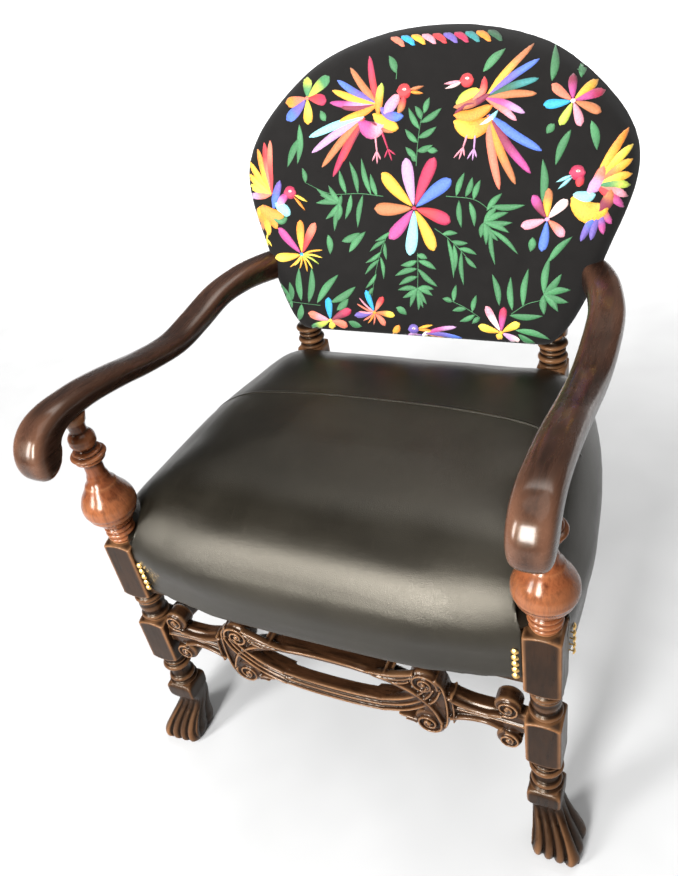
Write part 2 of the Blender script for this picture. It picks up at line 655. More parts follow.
def front_carving():
    """The pierced stretcher: two crossing arcs, four volutes at them and four at the posts."""
    shape = Shape()
    front, rear = CARVING_FRONT, CARVING_REAR
    for sign in (-1, 1):
        def at(points):
            return [(sign * x, z) for x, z in points]

        def heading(angle):
            return angle if sign > 0 else 180 - angle

        # the lower arc passes in front on the left, and the upper arc on the right
        lower_leads = 1.5 if sign < 0 else 0.0
        upper_leads = 1.5 - lower_leads
        # the board behind the crossing, from one volute to the other
        band(shape, at([(150, 214), (154, 240), (155, 262), (154, 284), (150, 310)]),
             [34, 38, 38, 38, 34], front + 6.5, rear, 8)
        # the lower arc's end and its reeds, crossing up into the upper volute
        band(shape, at([(70, 235), (104, 246), (126, 259), (144, 276), (157, 298)]),
             [26, 24, 20, 15, 9], front + 4.5 - lower_leads, rear, 4)
        for reed in REEDS:
            band(shape, at(reed), [5.2, 5.2, 5, 4.6, 3.8], front - lower_leads, -4, 2.2)
        volute(shape, (sign * 143, 303), 23, heading(-12), 1.75, sign < 0, 5.2, lower_leads)
        # the upper arc's end, crossing down into the lower volute
        band(shape, at([(70, 298), (100, 291), (131, 276), (152, 254), (162, 230)]),
             [14, 14, 14, 12, 8], front + 3 - upper_leads, rear, 4)
        band(shape, at([(70, 300), (100, 294.5), (131, 280), (153, 256), (164, 228)]),
             [5.2] * 5, front - upper_leads, -4, 2.2)
        volute(shape, (sign * 144, 220), 22, heading(14), 1.75, sign > 0, 5.2, upper_leads)
        # outer rim that joins the two volutes, and the collar beside it
        band(shape, at([(160, 318), (170, 300), (173, 262), (170, 226), (160, 206)]),
             [4, 5, 5, 5, 4], front + 1, rear, 2.4)
        band(shape, at([(181, 236), (182.5, 262), (181, 292)]), [5] * 3, front + 0.5, rear + 0.5,
             2.4)
        # the neck: two ridges with a hollow between, curling over and under at the post
        neck = [(160, 264), (182, 265.5), (206, 266.5), (232, 266.5), (258, 263), (277, 263)]
        band(shape, at(neck), [66, 52, 35, 33, 46, 40], front + 6.5, rear, 5)
        for ridge in ([(176, 288), (190, 281), (208, 276.5), (228, 275.5), (247, 279.5)],
                      [(176, 243), (190, 251), (208, 256.5), (228, 257.5), (247, 251)]):
            band(shape, at(ridge), [5, 6.5, 7, 7, 5.5], front - 0.5, -6, 2.2)
        band(shape, at([(180, 266), (206, 266.5), (236, 266.5), (262, 265), (276, 264)]),
             [3, 3.5, 3.5, 5, 6], front + 3, -6, 2.2)
        volute(shape, (sign * 254, 296.5), 18, heading(250), 1.6, sign < 0, 4.8)
        volute(shape, (sign * 254, 229), 17.5, heading(105), 1.6, sign > 0, 4.8)
        # leaf that lies along the top of the upper arc, and two beads across it
        for root, tip, width in (((131, 321), (62, 303), 7), ((128, 313), (74, 299), 6),
                                 ((124, 304), (88, 296), 5)):
            line = [(x, z - 5 * math.sin(math.pi * t))
                    for t, (x, z) in zip(np.linspace(0, 1, 5), np.linspace(root, tip, 5))]
            band(shape, at(line), [width * 0.6, width, width * 0.9, width * 0.6, 1.5],
                 front - 0.8, -8, 2.2)
        for x, r in ((89, 3.6), (96, 2.8)):
            roll(shape, (sign * x, 305), r, front + 1, rear, 2)
        # small leaf under the lower arc
        for root, tip in (((128, 216), (98, 219)), ((126, 211), (108, 211))):
            band(shape, at([root, ((root[0] + tip[0]) / 2, root[1] + 2.5), tip]), [6, 6.5, 1.5],
                 front + 2, rear - 3, 2.4)
    # both arcs between their ends, and the three reeds and the edge that lie on them
    lower = [(-75, 236.5), (-40, 231.5), (0, 230), (40, 231.5), (75, 236.5)]
    band(shape, lower, [26, 27, 27.5, 27, 26], front + 4.5, LOWER_ARC_REAR, 6)
    for (end, level), *_ in REEDS:
        middle = level - REED_DROP
        line = [(-end - 3, level), (-end / 2, middle + 1), (0, middle), (end / 2, middle + 1),
                (end + 3, level)]
        band(shape, line, [5.2] * 5, front, -4, 2.2)
    upper = [(-75, 297), (-40, 300.5), (0, 301.5), (40, 300.5), (75, 297)]
    band(shape, upper, [14] * 5, front + 3, rear, 6)
    edge = [(-75, 299), (-40, 303.5), (0, 305), (40, 303.5), (75, 299)]
    band(shape, edge, [5.2] * 5, front, -4, 2.2)
    return shape


made = front_carving().build("front_stretcher_carving", carved_wood)
carve_together(made, 1.3, 2)
rub(made, 1.5, 12)
stand_in(made, "dark_walnut", "front_stretcher")


# ---- leather seat ----------------------------------------------------------------

# right half of the plan, front to back, at the seat's fullest
SEAT_PLAN = [
    (0, -43), (90, -42), (160, -39), (220, -33), (268, -25), (304, -14), (322, 4), (329, 34),
    (331, 80), (331, 130), (328, 200), (323, 262), (314, 322), (301, 382), (285, 438),
    (266, 476), (236, 496), (190, 500), (100, 501),
]
SEAT_MIDDLE = 225
SEAT_BOTTOM = 358
# height above the lower edge, then how far the seat is drawn in there
SEAT_PROFILE = [
    (-1.5, 34), (-1.5, 14), (-1, 5), (8, 3.5), (26, 3), (48, 1), (66, -2), (84, -4),
    (98, -1.5), (112, 4), (125, 11), (137, 20), (147, 30), (155, 42), (161, 56), (165, 73),
    (168, 94), (170, 118), (172, 150), (173.5, 182), (175, 215),
]
# how far the stuffing can push the cover out
SLACK_CAP = 7.0
seat_leather = leather()


def closed_line(points, count):
    """Evenly spaced points on a smooth closed curve through the points."""
    ring = np.asarray(points, float)
    dense = []
    n = len(ring)
    for i in range(n):
        a, b, c, d = (ring[(i + k) % n] for k in (-1, 0, 1, 2))
        dense += [between(a, b, c, d, u) for u in np.linspace(0, 1, 24, endpoint=False)]
    dense = np.array(dense + [dense[0]])
    run = np.concatenate([[0], np.cumsum(np.linalg.norm(np.diff(dense, axis=0), axis=1))])
    at = np.linspace(0, run[-1], count, endpoint=False)
    return np.stack([np.interp(at, run, dense[:, k]) for k in (0, 1)], axis=1)


def seat_shape(inset, count=260):
    """The stuffed seat as a closed form, drawn in by an inset."""
    full = SEAT_PLAN + [(-x, y) for x, y in reversed(SEAT_PLAN[1:])]
    plan = closed_line(full, count)
    levels = smooth_line(SEAT_PROFILE, 90)
    rings = []
    for rise, draw in levels:
        draw = draw + inset
        scale = np.array([1 - draw / 331, 1 - draw / 270])
        ring = plan * scale + (0, SEAT_MIDDLE * (1 - scale[1]))
        dip = 2 * max(0.0, 1 - rise / 26)
        lift = dip * np.clip((np.abs(plan[:, 0]) - 150) / 130, 0, 1) ** 2
        z = SEAT_BOTTOM + rise + lift - (inset if rise > 60 else 0)
        rings.append(np.column_stack([ring, np.full(count, 0.0) + z]).tolist())
    return Shape().add(rings)


def clear_of_posts(points):
    """Move points out of the front posts' blocks and the turned bulbs above them."""
    p = points.copy()
    x, y, z = np.abs(p[:, 0]), p[:, 1], p[:, 2]
    sign = np.sign(p[:, 0])
    # the block's faces, with a little room for the cover
    inner, rear, outer = POST_X - 23.4, 23.6, POST_X + 23.4
    block = (z < 457) & (x > inner) & (x < outer) & (y < rear)
    to_inner, to_rear, to_outer = x - inner, rear - y, outer - x
    side_on = block & (y > -23) & (to_outer < 4) & (to_rear < 30)
    go_inner = block & ~side_on & (to_inner <= to_rear)
    go_rear = block & ~side_on & ~go_inner
    x = np.where(go_inner, inner, np.where(side_on, outer, x))
    y = np.where(go_rear, rear, y)
    # above the block the cover keeps a radius that follows the bulb, on the post's inner rear
    dx, dy = x - POST_X, y
    room = np.interp(z, (455, 480, 505, 520, 545, 575), (30, 33, 38, 39.5, 31, 16))
    angle = np.degrees(np.arctan2(dy, dx)) % 360
    reach = np.hypot(dx, dy)
    above = z >= 455
    first, last = 48.0, 215.0
    facing_out = (angle < first) | (angle > last)
    stray = above & facing_out & (reach < 52)
    held = np.where(stray, np.where((angle < first) | (angle > 315), first, last), angle)
    push = above & ((reach < room) | stray)
    reach = np.where(push, np.maximum(room, np.where(stray, reach * 0.9, reach)), reach)
    x = np.where(push, POST_X + reach * np.cos(np.radians(held)), x)
    y = np.where(push, reach * np.sin(np.radians(held)), y)
    p[:, 0], p[:, 1] = sign * x, y
    return p


def mesh_points(made):
    """An object's points in millimetres from the front posts' line."""
    points = np.empty(len(made.data.vertices) * 3)
    made.data.vertices.foreach_get("co", points)
    return points.reshape(-1, 3) / MM - (0, POST_LINE, 0)


def set_points(made, points):
    """Move an object's points to places in millimetres."""
    placed = (points + (0, POST_LINE, 0)) * MM
    made.data.vertices.foreach_set("co", placed.ravel())
    made.data.update()


# how a stretched cover behaves over its stuffing
COVER = {"quality": 6, "mass": 0.35, "tension_stiffness": 22, "compression_stiffness": 18,
         "shear_stiffness": 9, "bending_stiffness": 6.0, "use_pressure": True, "shrink_min": 0.0,
         "vertex_group_mass": "tacked"}
COVER_MESH = 7


def stuffed(made, pinned, cap, pressure=4.0, frames=20):
    """Blow the cover up over its stuffing, by cloth simulation."""
    modify(made, "REMESH", mode="VOXEL", voxel_size=COVER_MESH * MM)
    modify(made, "SMOOTH", factor=0.5, iterations=6)
    before = mesh_points(made)
    scene = bpy.context.scene
    group = made.vertex_groups.new(name="tacked")
    for index in np.nonzero(pinned(before))[0].tolist():
        group.add([index], 1.0, "REPLACE")
    cloth = made.modifiers.new("cover", "CLOTH")
    for key, value in COVER.items():
        setattr(cloth.settings, key, value)
    cloth.settings.uniform_pressure_force = pressure
    cloth.settings.effector_weights.gravity = 0
    cloth.point_cache.frame_start = 1
    cloth.point_cache.frame_end = frames
    for step in range(1, frames + 1):
        scene.frame_set(step)
    graph = bpy.context.evaluated_depsgraph_get()
    blown = bpy.data.meshes.new_from_object(made.evaluated_get(graph))
    made.modifiers.remove(cloth)
    made.data = blown
    scene.frame_set(1)
    moved = mesh_points(made) - before
    length = np.linalg.norm(moved, axis=1, keepdims=True)
    moved *= np.minimum(1, cap / np.maximum(length, 1e-6))
    set_points(made, before + evened(made, moved, 40))
    made.vertex_groups.clear()
    modify(made, "SUBSURF", levels=1, render_levels=1)
    return made


seat = seat_shape(4.0).build("seat_leather", seat_leather)
stuffed(seat, lambda p: p[:, 2] < SEAT_BOTTOM + 16, SLACK_CAP)
points = mesh_points(seat)
points[:, 1] = np.minimum(points[:, 1], 506)
set_points(seat, clear_of_posts(points))
modify(seat, "SMOOTH", factor=0.5, iterations=2)
stand_in(seat, "black_leather", "seat_cover", "seat_padding")


# ---- padded back -----------------------------------------------------------------

# the back's lower edge, and how far back its face is there
BACK_BOTTOM = 540
BACK_FACE = 451
LEAN = math.tan(math.radians(20))
# right half of the outline: half width, then height above the lower edge
BACK_OUTLINE = [
    (207, -3), (221, 5), (237, 24), (251, 50), (265, 82), (275, 112), (286, 142), (298, 172),
    (308, 204), (312, 235), (307, 265), (291, 296), (266, 325), (232, 355), (192, 382),
    (150, 400), (100, 413), (50, 421),
]
BACK_TOP = 423
BACK_EDGE = 17
CROWN = 9.0


def back_outline(count):
    """The round-topped outline as places (x, height)."""
    lower = [(-150, -4), (-75, -4), (0, -4), (75, -4), (150, -4)]
    left = [(-x, h) for x, h in reversed(BACK_OUTLINE)]
    return closed_line(lower + BACK_OUTLINE + [(0, BACK_TOP)] + left, count)


def drawn_in(outline, inset):
    """The outline drawn in towards the middle of the back."""
    half_width, half_height, middle = 312, 215, 200
    return np.column_stack([outline[:, 0] * (1 - inset / half_width),
                            middle + (outline[:, 1] - middle) * (1 - inset / half_height)])


def back_point_y(height, depth):
    """How far back a place in the leaning back is."""
    return BACK_FACE + LEAN * height + depth


def back_shape(count=300):
    """The stuffed back: crowned front, rounded edge, side band and flatter rear."""
    outline = back_outline(count)
    stations = []
    for inset in (205, 185, 160, 135, 110, 90, 72, 57, 45, 35, 27, 21, 16, 12, 8.5, 5.5, 3, 1.2,
                  0.2):
        edge = min(inset, BACK_EDGE)
        round_off = BACK_EDGE - math.sqrt(BACK_EDGE ** 2 - (BACK_EDGE - edge) ** 2)
        crown = CROWN * (1 - (1 - min(inset, 100) / 100) ** 2)
        stations.append((inset, round_off - crown))
    stations += [(-1.0, 24), (-1.4, 34), (-1.0, 44), (0, 52), (1.2, 57), (4, 60.5), (9, 62),
                 (20, 61), (60, 62), (120, 64), (205, 65)]
    rings = []
    for inset, depth in stations:
        ring = drawn_in(outline, inset)
        rings.append([(x, back_point_y(h, depth), BACK_BOTTOM + h) for x, h in ring])
    return Shape().add(rings)


back_cloth = weave("embroidered_fabric", (0.0025, 0.0022, 0.002), (0.009, 0.008, 0.0075), 0.9,
                   sheen=0.04)
back = back_shape().build("back_cushion", back_cloth)
stuffed(back, lambda p: p[:, 1] > back_point_y(p[:, 2] - BACK_BOTTOM, 30), 4.0, 3.0)
stand_in(back, "embroidered_fabric", "back_front_cover", "back_padding")


# ---- embroidery ------------------------------------------------------------------

DYES = {
    "lilac": (0.50, 0.27, 0.50), "crimson": (0.42, 0.018, 0.07), "blue": (0.07, 0.15, 0.55),
    "red": (0.58, 0.03, 0.035), "gold": (0.80, 0.38, 0.03), "cyan": (0.26, 0.62, 0.66),
    "sky": (0.02, 0.33, 0.62), "magenta": (0.42, 0.05, 0.22), "brown": (0.46, 0.15, 0.05),
    "green": (0.035, 0.16, 0.055), "leaf": (0.05, 0.21, 0.075), "moss": (0.022, 0.095, 0.04),
    "coral": (0.72, 0.17, 0.10), "pink": (0.70, 0.26, 0.32), "pale": (0.80, 0.58, 0.55),
    "yellow": (0.85, 0.60, 0.06), "violet": (0.14, 0.09, 0.36), "lime": (0.42, 0.52, 0.06),
    "orange": (0.78, 0.24, 0.02), "wine": (0.20, 0.015, 0.045), "white": (0.8, 0.78, 0.74),
    "teal": (0.03, 0.22, 0.22), "ink": (0.01, 0.01, 0.012),
}
# the layout was drawn on a plane that leans less, seen from the height of a standing person
LAYOUT_LEAN = math.tan(math.radians(14))
EYE = Vector((430, POST_LINE - 605, 1196)) * MM
back_surface = BVHTree.FromObject(back, bpy.context.evaluated_depsgraph_get())


def on_back(x, z, proud):
    """A point of the layout, laid on the back's surface and stood off along its normal."""
    drawn = Vector((x, BACK_FACE + LAYOUT_LEAN * (z - BACK_BOTTOM) + POST_LINE, z)) * MM
    heading = (drawn - EYE).normalized()
    spot, normal, _, _ = back_surface.ray_cast(drawn - heading * 0.3, heading)
    if spot is None or normal.dot(heading) > -0.15:
        spot, normal, _, _ = back_surface.find_nearest(drawn + heading * 0.05)
    spot = spot + normal * proud * MM
    return spot.x / MM, spot.y / MM - POST_LINE, spot.z / MM


# how wide a patch is along its length, as a share of its full width

def petal_form(t):
    return t ** 0.6 * math.sqrt(max(0, 1 - t ** 4)) / 0.75


def leaf_form(t):
    return math.sin(math.pi * min(1, t ** 0.9)) ** 0.8


def feather_form(t):
    return min(1, 0.35 + 2.2 * t) * math.sqrt(max(0, 1 - t ** 5))


def oval_form(t):
    return math.sqrt(max(0, 1 - (2 * t - 1) ** 2))


def strip_form(t):
    return 1 - 0.35 * t


class Stitching:
    """Patches of satin stitch that lie on the back, each a thin closed form."""

    def __init__(self):
        self.points, self.faces, self.stitches, self.dyes = [], [], [], []
        self.layers = 0

    def patch(self, spine, width, form, dyes, height, rows, across=4):
        """One patch along a spine of (x, z), from its first dye to its last."""
        line = smooth_line(spine, rows)
        start = len(self.points)
        self.layers += 1
        lift = 0.06 * (self.layers % 5)
        near, far = DYES[dyes[0]], DYES[dyes[-1]]
        run = 0.0
        for i, (x, z) in enumerate(line):
            before, after = line[max(i - 1, 0)], line[min(i + 1, rows - 1)]
            dx, dz = after - before
            length = math.hypot(dx, dz) or 1
            if i:
                run += math.hypot(*(line[i] - line[i - 1]))
            t = i / (rows - 1)
            half = max(width / 2 * form(min(max(t, 0.004), 0.996)), 0.15)
            blend = min(1, max(0, (t - 0.3) / 0.4)) ** 2
            colour = [a + (b - a) * blend for a, b in zip(near, far)]
            for side in (1, -1):
                for j in range(across + 1):
                    v = (2 * j / across - 1) * side
                    dome = math.sqrt(max(0, 1 - v * v))
                    proud = -0.5 + (0.45 + lift + height) * dome if side > 0 else -1.1
                    px, pz = x - dz / length * half * v, z + dx / length * half * v
                    self.points.append(on_back(px, pz, proud))
                    self.stitches.append((run + 0.4 * v * half, v * half))
                    shade = 1 - 0.16 * abs(v) if side > 0 else 0.5
                    self.dyes.append([c * shade for c in colour])
        self.faces += skin_faces(rows, 2 * (across + 1), start)

    def petal(self, root, tip, width, dyes, form, bend, height=1.3):
        """A petal or feather from its root to its tip, bent sideways."""
        (x0, z0), (x1, z1) = root, tip
        middle = ((x0 + x1) / 2 - (z1 - z0) * bend, (z0 + z1) / 2 + (x1 - x0) * bend)
        rows = max(5, min(15, int(math.hypot(x1 - x0, z1 - z0) / 5) + 3))
        self.patch([root, middle, tip], width, form, dyes, height, rows)

    def leaves(self, places, width):
        """Leaves from root to tip, bent and dyed by turns."""
        for i, (root, tip) in enumerate(places):
            dyes = ("leaf", "green") if i % 2 == 0 else ("green",)
            self.petal(root, tip, width, dyes, leaf_form, 0.05 * (-1) ** i, 0.9)

    def dot(self, x, z, radius, dye, height):
        """A round patch."""
        spine = [(x - radius, z), (x, z), (x + radius, z)]
        self.patch(spine, 2 * radius, oval_form, [dye], height, 7)

    def build(self, name):
        """One object, with the run of the strands and the dye of each place."""
        made = make_object(name, self.points, self.faces, silk)
        uv = made.data.uv_layers.new(name="stitches")
        dye = made.data.color_attributes.new("dye", "FLOAT_COLOR", "POINT")
        for loop in made.data.loops:
            uv.data[loop.index].uv = self.stitches[loop.vertex_index]
        for i, colour in enumerate(self.dyes):
            dye.data[i].color = (*colour, 1)
        stand_in(made, "embroidered_fabric")


def silk_material():
    """Dyed silk in satin stitch: each patch's strands run across it."""
    n = Nodes("embroidery_silk")
    dye = n.add("ShaderNodeVertexColor", layer_name="dye").outputs["Color"]
    place = n.add("ShaderNodeUVMap", uv_map="stitches").outputs["UV"]
    strands = n.add("ShaderNodeTexWave", wave_type="BANDS", bands_direction="X", Scale=0.21,
                    Distortion=2.0, Detail=2.0)
    strands.inputs["Detail Scale"].default_value = 1.5
    n.link(place, strands.inputs["Vector"])
    tone = n.noise(place, 0.35, 4, 0.6)
    shade = n.maths("MULTIPLY", n.range(strands.outputs["Fac"], 0, 1, 0.55, 1.15),
                    n.range(tone, 0.3, 0.7, 0.72, 1.12))
    grey = n.add("ShaderNodeCombineColor")
    for key in ("Red", "Green", "Blue"):
        n.link(shade, grey.inputs[key])
    colour = n.mix(1.0, dye, grey.outputs["Color"], "MULTIPLY")
    normal = n.bump(strands.outputs["Fac"], 0.5, 0.0006)
    return n.finish(colour, 0.58, normal, Sheen_Weight=0.15, Sheen_Roughness=0.4)


silk = silk_material()


# The layout is read in millimetres. A row is places (x, z), sometimes a width, then one dye
# or the two dyes that blend from root to tip.

def rows_of(text):
    """Rows such as "12 40 gold, 9 3 red" as pairs of the numbers and the words."""
    for row in filter(None, text.split(",")):
        words = row.split()
        yield ([int(word) for word in words if not word.isalpha()],
               [word for word in words if word.isalpha()])


def flower(name, heart, width, centre_dye, petals, seeds=""):
    """Petals around a round heart, and sometimes thin seeds."""
    work = Stitching()
    for tip, dyes in rows_of(petals):
        inner = [h + (t - h) * 0.06 for h, t in zip(heart, tip)]
        work.petal(inner, tip, width, dyes, petal_form, 0.02)
    for tip, dyes in rows_of(seeds):
        work.petal(heart, tip, 4, dyes, feather_form, 0.05, 1.6)
    work.dot(*heart, 3.6, centre_dye, 2.0)
    work.build(name)


flower("centre_flower", (0, 741), 24, "crimson",
       "-12 811 lilac, 33 811 crimson, 58 781 blue, 57 722 red crimson, 31 680 gold, -9 672 cyan, "
       "-42 696 magenta, -65 740 brown, -51 791 gold")
flower("upper_left_flower", (-169, 898), 20, "coral",
       "-130 925 lime leaf, -137 893 red crimson, -171 862 yellow gold, -207 869 violet blue, "
       "-206 893 coral orange, -166 926 leaf lime")
flower("upper_right_flower", (227, 877), 15, "pale",
       "257 900 gold, 267 887 magenta crimson, 264 862 brown, 239 846 pink, 211 848 lime, "
       "188 874 sky, 198 898 coral, 225 909 magenta wine")
flower("right_flower", (200, 727), 17, "lilac",
       "200 768 gold brown, 227 753 pale, 225 704 coral pink, 194 683 blue, 163 717 pink, "
       "178 759 wine magenta")
flower("left_flower", (-198, 668), 18, "sky",
       "-197 722 gold orange, -170 718 red coral, -238 709 magenta, -249 661 gold yellow",
       seeds="-160 676 gold, -161 664 yellow, -168 654 lime, -180 646 yellow, -190 641 gold, "
             "-204 645 gold, -213 650 yellow, -222 647 gold")
flower("lower_left_flower", (-153, 562), 17, "yellow",
       "-155 600 sky, -114 582 wine crimson, -122 554 coral, -194 572 pink coral, "
       "-192 546 lime leaf, -150 548 yellow")
flower("small_lower_flower", (-72, 580), 13, "orange",
       "-86 615 sky, -56 606 coral red, -37 577 brown yellow, -54 560 coral, -108 573 violet",
       seeds="-98 602 pink, -102 592 coral, -100 580 pink, -92 566 coral, -84 562 orange, "
             "-74 560 coral")
flower("lower_right_flower", (138, 561), 15, "gold",
       "113 600 pale pink, 141 600 magenta crimson, 166 577 gold yellow, 102 569 gold yellow, "
       "168 546 lilac pale, 133 551 yellow gold")


def bird(name, head, beak, wing, tail, body, fleck="", feet="", neck=""):
    """A folk-art bird: fanned wing and tail, banded body, round head."""
    work = Stitching()
    for fan, bend in ((tail, -0.03), (wing, 0.03)):
        ((*root, width), _), *tips = rows_of(fan)
        for tip, dyes in tips:
            work.petal(root, tip, width, dyes, feather_form, bend, 1.2)
    for bands, form, height, rows in ((body, oval_form, 1.7, 11), (fleck, leaf_form, 1.7, 11),
                                      (neck, feather_form, 1.9, 9)):
        for (*spine, width), dyes in rows_of(bands):
            places = list(zip(spine[::2], spine[1::2]))
            work.patch(places, width, form, dyes, height, rows, 6)
    for numbers, dyes in rows_of(feet):
        leg, ankle, *toes = zip(numbers[::2], numbers[1::2])
        work.petal(leg, ankle, 4.5, dyes, strip_form, 0, 1.2)
        for toe in toes:
            work.petal(ankle, toe, 3.4, dyes, feather_form, 0, 1.2)
    (x, z, radius), (dye,) = next(rows_of(head))
    work.dot(x, z, radius, dye, 2.4)
    for tip, dyes in rows_of(beak):
        root = (x + (tip[0] - x) * 0.25, z + (tip[1] - z) * 0.25)
        work.petal(root, tip, 5.5, dyes, leaf_form, 0, 2.0)
    # the eye
    work.dot(x + 1, z + 2, 3.0, "pale", 3.0)
    work.dot(x + 1, z + 2, 1.3, "ink", 3.5)
    work.build(name)


bird("upper_left_bird", "-12 900 11 red", "18 905 brown, 17 896 orange",
     wing="-54 885 13, -64 947 red crimson, -95 934 brown, -117 919 violet blue, -126 906 gold, "
          "-131 890 lilac magenta, -113 883 wine, -117 864 orange gold",
     tail="-76 868 14, -170 844 cyan, -167 822 lilac, -151 801 brown, -133 787 red crimson, "
          "-118 806 wine red",
     body="-86 862 -66 850 -44 858 26 magenta pink, -62 872 -42 858 -22 852 20 gold, "
          "-50 880 -34 868 -14 868 16 violet blue",
     fleck="-66 862 -48 852 -30 846 9 wine brown",
     feet="-60 846 -58 822 -66 808 -58 804 -52 810 pink, "
          "-48 846 -40 824 -46 812 -34 808 -28 816 crimson",
     neck="-44 872 -32 884 -20 896 18 lilac pink, -54 872 -52 892 -46 912 15 orange lime, "
          "-22 872 -16 882 -12 894 12 brown red")
bird("upper_right_bird", "81 909 10 red", "48 906 pink, 50 900 pale",
     wing="108 886 12, 172 947 gold brown, 180 929 violet blue, 180 906 moss teal, 178 888 brown, "
          "163 865 magenta lilac, 152 856 coral pink",
     tail="112 864 15, 188 817 blue, 174 788 wine magenta, 153 774 orange brown, 130 767 coral",
     body="62 858 88 846 118 858 26 gold orange, 62 866 88 864 118 876 18 orange, "
          "62 876 86 880 114 890 14 brown wine",
     fleck="100 852 114 858 126 870 10 pale cyan",
     feet="84 846 76 824 62 810 70 808 78 812 pink, 94 846 92 822 82 808 90 806 96 810 lilac",
     neck="66 880 82 890 100 896 16 lime yellow, 90 884 104 896 106 912 12 coral red, "
          "64 868 78 878 92 880 8 wine")
bird("left_bird", "-211 764 11 crimson", "-181 750 yellow, -186 737 orange",
     wing="-246 762 14, -240 841 red coral, -251 838 coral red, -264 829 gold orange, "
          "-283 812 gold, -290 795 yellow gold, -291 777 lime yellow, -290 759 coral lilac",
     tail="-262 744 17, -284 716 gold orange, -272 700 orange brown, -256 698 orange gold, "
          "-240 708 brown orange",
     body="-270 742 -248 728 -226 728 26 orange, -246 724 -232 720 -220 726 12 leaf green, "
          "-240 748 -226 738 -214 730 20 cyan",
     feet="-258 706 -262 692 -268 678 -262 676 -254 680 yellow, "
          "-270 708 -276 694 -280 682 -274 680 -268 684 gold",
     neck="-244 740 -238 760 -228 782 15 blue violet, -236 742 -228 752 -216 762 15 lilac magenta")
bird("right_bird", "238 788 11 crimson", "210 776 cyan, 213 767 cyan",
     wing="264 772 15, 300 842 gold orange, 307 822 gold yellow, 308 804 brown gold, "
          "309 786 yellow gold, 308 772 leaf lime, 306 758 coral pink, 302 744 red magenta",
     tail="272 744 13, 288 722 brown magenta, 278 708 violet magenta, 262 700 violet, "
          "248 698 blue violet",
     body="232 756 256 736 282 742 32 gold, 234 760 248 756 264 760 18 cyan, "
          "270 738 280 750 284 766 18 wine brown",
     neck="254 762 266 776 272 796 19 lilac coral, 240 770 242 778 242 788 13 red crimson")
bird("lower_bird", "-5 557 9 violet", "28 566 gold, 26 557 orange",
     wing="16 552 9, 66 565 magenta lilac, 80 546 violet blue, 70 538 orange gold",
     tail="10 548 9, 34 540 yellow gold, 24 556 white yellow",
     body="-14 548 2 543 22 546 16 lilac violet")
work = Stitching()
work.petal((-40, 543), (-30, 562), 14, ("gold", "orange"), oval_form, 0)
work.build("lower_gold_petal")


def sprig(name, width, stem, leaves, *fans):
    """A stem with leaves along it, and clusters that spread from one point."""
    work = Stitching()
    line = [place for place, _ in rows_of(stem)]
    work.patch(line, 2.2, strip_form, ["green"], 0.5, 6 * len(line), 2)
    work.leaves([(ends[:2], ends[2:]) for ends, _ in rows_of(leaves)], width)
    for fan in fans:
        (*root, spread), *tips = (numbers for numbers, _ in rows_of(fan))
        work.leaves([(root, tip) for tip in tips], spread)
    work.build(name)


sprig("upper_stem", 11, "4 800, 7 830, 12 858, 20 884",
      "5 812 -12 826, 6 820 30 828, 7 832 -12 850, 8 838 36 852, 10 850 -6 878, 12 858 44 876, "
      "18 870 26 890, 14 862 4 880, 22 820 38 820, 4 806 -4 816")
sprig("left_branch", 11, "-50 758, -90 762, -140 762, -182 778",
      "-70 760 -84 812, -92 762 -104 808, -112 762 -122 796, -84 760 -95 712, -104 761 -116 724, "
      "-182 778 -186 800, -60 758 -70 790, -120 760 -128 736",
      "-124 748 11, -164 770, -166 748, -150 724, -136 706, -128 722, -158 760, -142 774")
sprig("right_branch", 11, "50 758, 90 754, 112 742, 128 726",
      "66 758 78 790, 80 757 90 784, 92 753 102 780, 70 752 74 714, 86 750 94 716, "
      "116 744 168 746, 112 738 134 762",
      "108 722 11, 144 736, 150 722, 146 708, 130 696, 112 690, 104 700, 128 744",
      "118 712 9, 160 678, 126 662")
sprig("lower_left_stem", 8, "-34 716, -52 690, -66 650, -76 606",
      "-40 706 -66 692, -48 694 -76 676, -56 676 -84 658, -60 664 -86 640, -66 642 -86 618, "
      "-50 690 -48 664, -58 668 -54 634, -72 620 -82 606")
sprig("lower_right_stem", 9, "32 712, 54 698, 74 680, 92 660",
      "44 704 68 706, 58 694 84 692, 70 684 98 676, 80 672 98 656, 62 690 64 650, 74 680 78 630, "
      "52 698 62 640")
sprig("down_stem", 11, "4 676, 4 650, 3 620, 3 600",
      "5 664 34 652, 4 652 36 626, 3 664 -24 656, 3 652 -34 640, 3 672 20 668, 3 640 -28 626",
      "3 622 10, -22 606, -10 592, 4 588, 18 598, 28 612, -30 618, 30 622, 12 592")
sprig("lower_left_leaves", 15, "-232 590, -205 588, -170 586",
      "-206 592 -206 646, -192 590 -182 648, -176 590 -134 638, -150 592 -104 620, "
      "-206 586 -216 556, -140 580 -118 600",
      "-224 592 13, -248 624, -226 622, -252 606, -250 588, -240 566")
sprig("lower_right_leaves", 12, "152 590, 175 606, 200 616, 214 640",
      "154 596 150 645, 134 602 122 648, 170 602 176 658, 150 588 200 590, 160 566 212 556, "
      "164 560 196 544, 204 668 236 704",
      "200 622 13, 206 676, 224 652, 238 630, 236 612, 222 598, 202 592")
sprig("lower_middle_leaves", 10, "56 606, 80 596, 104 582",
      "62 604 66 630, 60 604 44 608, 92 590 98 616, 82 594 60 590, 96 586 72 574, 104 582 92 572")
